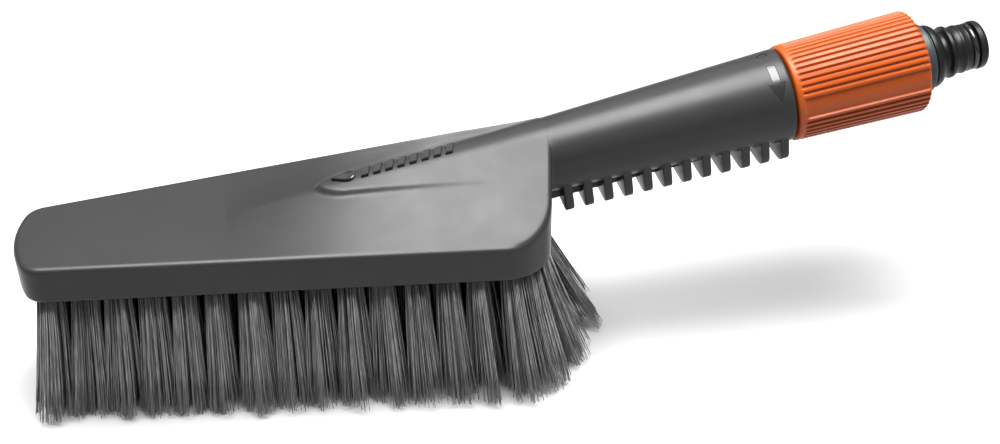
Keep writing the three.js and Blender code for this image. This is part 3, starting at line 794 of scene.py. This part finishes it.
# Where along a filament its rings lie, and how thick each ring is.
STRAND_LEVELS = np.array([0.0, 0.35, 0.7, 1.0])
STRAND_WIDTHS = np.array([1.0, 1.0, 0.92, 0.55])
STRAND_CURVE = 1.12
STRAND_BOW = 0.4
ROOT_DEPTH = 2.0
# Tufts widen towards the rear, and across the brush they fill a share of the row spacing.
REAR_WIDENING = 0.2
ROW_FILL = 0.62
LEAST_SPREAD_Y = 4.0
# How far filaments stray from their clump, and from their place at the root and at the tip.
CLUMP_SPREAD = 0.36
ROOT_SCATTER = 0.1
TIP_SCATTER = 1.1
# How much shorter than the full length a filament is. Those outside in a tuft are shorter.
LEAST_SHORTENING = 0.3
MOST_SHORTENING = 8.0
LENGTH_SCATTER = 0.9
OUTER_SHORTENING = 0.9


def strand_lines(row, random):
    """Centre lines of all the filaments of one row: an array of strands x levels x 3."""
    lines = []
    for column in range(TUFTS_PER_ROW):
        root, tip = tuft_root(row, column), tuft_tip(row, column)
        spacing = 2 * abs(tuft_tip(0, column)[1]) / (ROW_COUNT - 1)
        wider = 1 + REAR_WIDENING * (column / (TUFTS_PER_ROW - 1)) ** 5
        spread = np.array([TIP_SPREAD_X * wider, max(LEAST_SPREAD_Y, ROW_FILL * spacing)])
        clumps = in_disc(random, CLUMPS_PER_TUFT)
        chosen = random.randint(0, CLUMPS_PER_TUFT, FILAMENTS_PER_TUFT)
        place = clumps[chosen] + CLUMP_SPREAD * in_disc(random, FILAMENTS_PER_TUFT)
        place /= np.maximum(1, np.linalg.norm(place, axis=1))[:, None]
        root_stray = ROOT_SCATTER * in_disc(random, FILAMENTS_PER_TUFT)
        roots = root + ROOT_SPREAD * place + root_stray
        tip_stray = TIP_SCATTER * in_disc(random, FILAMENTS_PER_TUFT)
        tips = tip + place * spread + tip_stray
        length_draw = random.normal(0, LENGTH_SCATTER, FILAMENTS_PER_TUFT)
        shorter = LEAST_SHORTENING + np.abs(length_draw)
        shorter += OUTER_SHORTENING * np.linalg.norm(place, axis=1) ** 3
        shorter = np.clip(shorter, LEAST_SHORTENING, MOST_SHORTENING)
        low = -WALL_HEIGHT - BRISTLE_LENGTH + shorter
        top = -WALL_HEIGHT + ROOT_DEPTH
        bow = STRAND_BOW * in_disc(random, FILAMENTS_PER_TUFT)
        for level in STRAND_LEVELS:
            middle = 4 * level * (1 - level)
            share = level**STRAND_CURVE
            flat = roots + (tips - roots) * share + bow * middle
            height = top + (low - top) * level
            lines.append(np.column_stack([flat, height]))
    stacked = np.array(lines).reshape(TUFTS_PER_ROW, len(STRAND_LEVELS), FILAMENTS_PER_TUFT, 3)
    return stacked.transpose(0, 2, 1, 3).reshape(-1, len(STRAND_LEVELS), 3)


FIRST_SEED = 410
STRAND_SIDES = 3


def bristles(row):
    """One row of filaments in one mesh: thin three-sided rods with closed ends."""
    random = np.random.RandomState(FIRST_SEED + row)
    lines = strand_lines(row, random)
    count, levels = lines.shape[:2]
    sides = STRAND_SIDES
    spin = random.uniform(0, 2 * math.pi, count)
    thickness = STRAND_RADIUS * random.uniform(0.8, 1.2, count)
    corners = []
    for side in range(sides):
        angle = spin + 2 * math.pi * side / sides
        ring = np.stack([np.cos(angle), np.sin(angle), np.zeros(count)], 1)
        reach = thickness[:, None] * STRAND_WIDTHS[None, :]
        corners.append(lines + ring[:, None, :] * reach[:, :, None])
    vertices = np.stack(corners, 2).reshape(-1, 3)
    per_strand = levels * sides
    quads = []
    for level in range(levels - 1):
        for side in range(sides):
            here = level * sides + side
            beside = level * sides + (side + 1) % sides
            quads.append((here, here + sides, beside + sides, beside))
    triangles = [(0, 1, 2), (per_strand - 1, per_strand - 2, per_strand - 3)]
    starts = (np.arange(count) * per_strand)[:, None, None]
    faces = [tuple(f) for f in (np.array(quads)[None] + starts).reshape(-1, 4).tolist()]
    faces += [tuple(f) for f in (np.array(triangles)[None] + starts).reshape(-1, 3).tolist()]
    obj = new_object(f"bristles_{row + 1}", vertices, faces, HEAD_FRAME)
    for polygon in obj.data.polygons:
        polygon.use_smooth = True
    return obj


for row in range(ROW_COUNT):
    put(bristles(row), BRISTLE, "brush", "bristles", f"bristle_row_{row + 1}")


# ---------------------------------------------------------------- regulator knob
PLAIN_MIDDLE = 8.0
PLAIN_RIBS = 3
SAMPLES_PER_RIB = 12
KNOB_BORE = 13.4
KNOB_THROAT = 11.4
THROAT_START = 129.0
LIP = 2.6


def rib_shape(turn):
    """Height of a rib over one pitch, from 0 to 1: a steep upper flank and a rounded crest."""
    rise = smooth_step((turn - 0.16) / 0.26)
    fall = smooth_step((0.98 - turn) / 0.24)
    return np.minimum(rise, fall)


def knob_sleeve():
    """The ribbed sleeve, with a plain stretch on one side and a smooth lip at the tube's end."""
    ribs = round(360 / RIB_PITCH)
    turns = np.arange(ribs * SAMPLES_PER_RIB) / SAMPLES_PER_RIB
    start = PLAIN_MIDDLE + PLAIN_RIBS * RIB_PITCH / 2
    angle = np.radians(start + turns * RIB_PITCH)
    height = np.where(turns < ribs - PLAIN_RIBS, rib_shape(turns % 1.0), 0.0)
    around = np.stack([np.zeros_like(angle), -np.cos(angle), np.sin(angle)], 1)

    def ring(x, radius, ribbed=0.0):
        return around * (radius + ribbed * RIB_HEIGHT * height)[:, None] + np.array([x, 0, 0])

    def base(x):
        share = (x - KNOB_START) / (KNOB_END - KNOB_START)
        return KNOB_START_RADIUS + (KNOB_END_RADIUS - KNOB_START_RADIUS) * share - RIB_HEIGHT

    lip_end = KNOB_START + LIP
    rings = [
        ring(KNOB_START, KNOB_BORE),
        ring(KNOB_START, KNOB_START_RADIUS - 0.7),
        ring(KNOB_START + 0.2, KNOB_START_RADIUS - 0.3),
        ring(KNOB_START + 0.7, KNOB_START_RADIUS),
        ring(lip_end - 1.0, KNOB_START_RADIUS),
        ring(lip_end - 0.5, KNOB_START_RADIUS - 0.12, 0.15),
        ring(lip_end, base(lip_end) + 0.2, 0.75),
        ring(lip_end + 0.6, base(lip_end + 0.6) + 0.03, 0.97),
        ring(lip_end + 1.2, base(lip_end + 1.2), 1.0),
    ]
    for x in np.linspace(lip_end + 3, KNOB_END - 1.6, 14):
        rings.append(ring(x, base(x), 1.0))
    rings += [
        ring(KNOB_END - 0.9, base(KNOB_END) - 0.05, 1.0),
        ring(KNOB_END - 0.35, base(KNOB_END) - 0.25, 0.85),
        ring(KNOB_END - 0.08, base(KNOB_END) - 0.6, 0.6),
        ring(KNOB_END, base(KNOB_END) - 1.1, 0.2),
        ring(KNOB_END, KNOB_THROAT + 0.5),
        ring(KNOB_END - 0.4, KNOB_THROAT),
        ring(THROAT_START, KNOB_THROAT),
        ring(THROAT_START, KNOB_BORE),
        ring(KNOB_START, KNOB_BORE),
    ]
    vertices, faces = loft_data(rings, closed_ends=False)
    obj = new_object("knob_sleeve", vertices, faces, HANDLE_FRAME)
    tidy_mesh(obj)
    shade(obj, 50.0)
    return obj


put(knob_sleeve(), KNOB, "regulator", "knob_plastic", "regulator_knob")


# ---------------------------------------------------------------- nipple and rings
def arc(centre_x, centre_r, radius, start, end, steps=8):
    """Points of an arc in the profile plane, with angles in degrees from the +x direction."""
    angles = np.radians(np.linspace(start, end, steps + 1))
    return [(centre_x + radius * math.cos(a), centre_r + radius * math.sin(a)) for a in angles]


NIPPLE_START = 122.5
NIPPLE_BORE = 4.5
FLANGE_GAP = 0.3
FLANGE_RADIUS = 11.2
FLANGE_THICKNESS = 0.7
FLARE_LENGTH = 3.6
FLARE_DROP = 3.9
FLARE_POINTS = 12
TURNED_SEGMENTS = 96


def nipple_profile():
    """The nipple's half section, as (station, radius), from inside the knob out to its tip."""
    seat = NECK_END + FLANGE_GAP
    flare = []
    for a in np.radians(np.linspace(0, 90, FLARE_POINTS)):
        along = seat + FLANGE_THICKNESS + FLARE_LENGTH * math.sin(a)
        flare.append((along, FLANGE_RADIUS - FLARE_DROP * (1 - math.cos(a))))
    return [
        # the stem in the knob, the flange, and the flare down to the waist
        (NIPPLE_START, NIPPLE_BORE), (NIPPLE_START, 9.2),
        (seat, 9.2), (seat, 11.0), (seat + 0.2, FLANGE_RADIUS),
        *flare,
        (143.1, 7.3), (143.7, 7.45), (144.1, 7.9),
        # the collar
        *arc(144.75, 8.85, 0.35, 170, 90, 5), *arc(145.5, 8.85, 0.35, 90, 20, 5),
        (146.3, 8.5), (146.7, 8.35), (148.6, 8.35),
        # the thin bead
        *arc(149.0, 8.35, 0.25, 180, 90, 3)[1:], *arc(149.6, 8.35, 0.25, 90, 0, 3)[:-1],
        (150.0, 8.35), (151.8, 8.35), (152.0, 8.15),
        # the groove of the tip seal, and the rounded tip
        (152.0, 6.0), (155.0, 6.0), (155.0, 8.35),
        (155.2, 8.55), (156.5, 8.55),
        *arc(156.5, 7.05, 1.5, 90, 0, 10),
        (158.0, 5.0), (157.6, NIPPLE_BORE),
    ]


def nipple_body():
    obj = lathe("nipple_body", nipple_profile(), TURNED_SEGMENTS, HANDLE_FRAME)
    shade(obj, 38.0)
    return obj


def o_ring(name, station, radius, wire):
    """A ring of round wire. The last of its 18 points joins up with the first."""
    profile = arc(station, radius, wire, 0, 340, 17)
    obj = lathe(name, profile, TURNED_SEGMENTS, HANDLE_FRAME)
    shade(obj, 80.0)
    return obj


def neck_ring():
    profile = [
        (133.0, 11.3), (133.0, 12.1), (133.3, 12.4), (135.9, 12.3),
        *arc(136.0, 11.35, 1.0, 80, 0, 8), (137.1, 11.33), (137.1, 11.3),
    ]
    obj = lathe("neck_ring", profile, TURNED_SEGMENTS, HANDLE_FRAME)
    shade(obj, 38.0)
    return obj


put(nipple_body(), NIPPLE, "brush", "nipple_plastic", "hose_nipple")
put(o_ring("tip_seal", 153.5, 7.3, 1.05), SEAL, "brush", "seal_rubber", "nipple_o_ring")
put(neck_ring(), VALVE, "brush", "valve_plastic", "knob_retaining_ring")

# ---------------------------------------------------------------- CAD nodes that stay as they are
CARRIED = {
    "bristle_plate": (BODY, "body_plastic"),
    "valve_body": (VALVE, "valve_plastic"),
    "handle_seal_1": (SEAL, "seal_rubber"),
    "handle_seal_2": (SEAL, "seal_rubber"),
    "valve_seat_disc": (DISC, "valve_disc_plastic"),
    "nipple_seat_seal": (SEAL, "seal_rubber"),
    "valve_rotor": (DISC, "valve_disc_plastic"),
    "rotor_seal_1": (SEAL, "seal_rubber"),
    "rotor_seal_2": (SEAL, "seal_rubber"),
    "drive_pin_1": (STEEL, "pin_steel"),
    "drive_pin_2": (STEEL, "pin_steel"),
}
for node, (material, slot) in CARRIED.items():
    obj = frame["nodes"][node]
    obj.data.materials.clear()
    obj.data.materials.append(material)

# ---------------------------------------------------------------- floor, light and camera
FLOOR_HALF = 3.0
FLOOR_DROP = 0.0002
WORLD_STRENGTH = 0.16
CAMERA_LENS = 50.16
SENSOR_WIDTH = 36.0
CAMERA_FROM_HEAD = Vector((-100.43, -392.94, 262.86))
CAMERA_ELEVATION = 34.79
CAMERA_AZIMUTH = -12.10

floor = new_object(
    "floor",
    [(-FLOOR_HALF, -FLOOR_HALF, 0), (FLOOR_HALF, -FLOOR_HALF, 0),
     (FLOOR_HALF, FLOOR_HALF, 0), (-FLOOR_HALF, FLOOR_HALF, 0)],
    [(0, 1, 2, 3)],
    Matrix.Translation((0, 0, -FLOOR_DROP)),
)
paper = Nodes("studio_floor")
paper.link(
    paper.mix(paper.noise(6.0), (0.34, 0.34, 0.34), (0.37, 0.37, 0.37)),
    paper.shader.inputs["Base Color"],
)
paper.shader.inputs["Roughness"].default_value = 0.8
paper.shader.inputs["Specular IOR Level"].default_value = 0.1
floor.data.materials.append(paper.material)
floor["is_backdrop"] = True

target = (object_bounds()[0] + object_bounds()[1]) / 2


def soft_light(name, azimuth, elevation, distance, width, height, power):
    """A soft box that faces the brush. Azimuth 0 is behind the brush (+Y), 90 is at +X."""
    data = bpy.data.lights.new(name, "AREA")
    data.shape = "RECTANGLE"
    data.size = width
    data.size_y = height
    data.energy = power
    lamp = bpy.data.objects.new(name, data)
    bpy.context.scene.collection.objects.link(lamp)
    a, e = math.radians(azimuth), math.radians(elevation)
    away = Vector((math.sin(a) * math.cos(e), math.cos(a) * math.cos(e), math.sin(e)))
    lamp.location = target + away * distance
    lamp.rotation_mode = "QUATERNION"
    lamp.rotation_quaternion = away.to_track_quat("Z", "Y")
    return lamp


soft_light("key_soft_box", azimuth=12, elevation=88, distance=1.3,
           width=1.2, height=0.9, power=92.0)
soft_light("back_soft_box", azimuth=6, elevation=38, distance=1.6,
           width=1.2, height=0.5, power=2.5)
soft_light("side_fill", azimuth=140, elevation=20, distance=1.4,
           width=0.8, height=0.8, power=1.2)

world = bpy.data.worlds.new("studio")
world.use_nodes = True
world.node_tree.nodes["Background"].inputs["Color"].default_value = (1, 1, 1, 1)
world.node_tree.nodes["Background"].inputs["Strength"].default_value = WORLD_STRENGTH
bpy.context.scene.world = world
bpy.context.scene.view_settings.view_transform = "Standard"

camera_data = bpy.data.cameras.new("camera")
camera_data.lens = CAMERA_LENS
camera_data.sensor_width = SENSOR_WIDTH
camera_data.clip_start = 0.01
camera = bpy.data.objects.new("camera", camera_data)
bpy.context.scene.collection.objects.link(camera)
camera.location = HEAD_ORIGIN + CAMERA_FROM_HEAD * MM
camera_tilt = math.radians(90 - CAMERA_ELEVATION)
camera.rotation_euler = Euler((camera_tilt, 0, math.radians(CAMERA_AZIMUTH)))
bpy.context.scene.camera = camera
